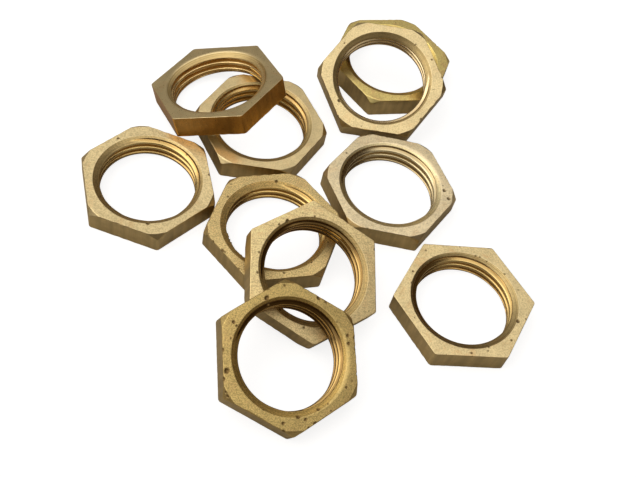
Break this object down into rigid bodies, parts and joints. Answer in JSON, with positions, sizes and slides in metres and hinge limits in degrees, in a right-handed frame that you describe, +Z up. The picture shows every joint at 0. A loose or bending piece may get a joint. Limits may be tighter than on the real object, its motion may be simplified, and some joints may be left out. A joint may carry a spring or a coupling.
{
  "type": "cable gland lock nuts",
  "caption": "Loose brass hexagon lock nuts for a cable gland, heaped on a table: eight with one chamfered face and two square-cornered, all with threaded bores.",
  "frame": {"origin": "centre of the heap in plan, on the table the nuts lie on", "axes": "+Z up, square to the table; +Y from the front of the heap to its back, its longest way; +X to the right"},
  "size_m": [0.0914, 0.1056, 0.0133],
  "materials": {
    "pale_brass": "turned and sawn, bright, lightly brushed",
    "golden_brass": "turned and sawn, satin, with fine pits and specks"
  },
  "bodies": {
    "centre_right_nut": {"locknut_centre_right": "pale_brass"},
    "left_nut": {"locknut_left": "pale_brass"},
    "middle_lower_nut": {"locknut_middle_lower": "golden_brass"},
    "right_nut": {"locknut_right": "pale_brass"},
    "rear_lower_nut": {"locknut_rear_lower": "pale_brass"},
    "rear_left_lower_nut": {"locknut_rear_left_lower": "pale_brass"},
    "rear_left_upper_nut": {"locknut_rear_left_upper": "pale_brass"},
    "middle_upper_nut": {"locknut_middle_upper": "golden_brass"},
    "front_nut": {"locknut_front": "golden_brass"},
    "rear_upper_nut": {"locknut_rear_upper": "pale_brass"}
  },
  "joints": [
    {"name": "lift_left", "type": "slide", "parent": "centre_right_nut", "child": "left_nut", "axis": [0, 0, 1], "range_m": [0, 0.04]},
    {"name": "lift_middle_lower", "type": "slide", "parent": "centre_right_nut", "child": "middle_lower_nut", "axis": [0, 0, 1], "range_m": [0, 0.04]},
    {"name": "lift_right", "type": "slide", "parent": "centre_right_nut", "child": "right_nut", "axis": [0, 0, 1], "range_m": [0, 0.04]},
    {"name": "lift_rear_lower", "type": "slide", "parent": "centre_right_nut", "child": "rear_lower_nut", "axis": [0, 0, 1], "range_m": [0, 0.04]},
    {"name": "lift_rear_left_lower", "type": "slide", "parent": "left_nut", "child": "rear_left_lower_nut", "axis": [0, 0, 1], "range_m": [0, 0.04]},
    {"name": "lift_rear_left_upper", "type": "slide", "parent": "rear_left_lower_nut", "child": "rear_left_upper_nut", "axis": [0, 0, 1], "range_m": [0, 0.04]},
    {"name": "lift_middle_upper", "type": "slide", "parent": "middle_lower_nut", "child": "middle_upper_nut", "axis": [0, 0, 1], "range_m": [0, 0.04]},
    {"name": "lift_front", "type": "slide", "parent": "middle_upper_nut", "child": "front_nut", "axis": [0, 0, 1], "range_m": [0, 0.04]},
    {"name": "lift_rear_upper", "type": "slide", "parent": "rear_lower_nut", "child": "rear_upper_nut", "axis": [0, 0, 1], "range_m": [0, 0.04]}
  ]
}
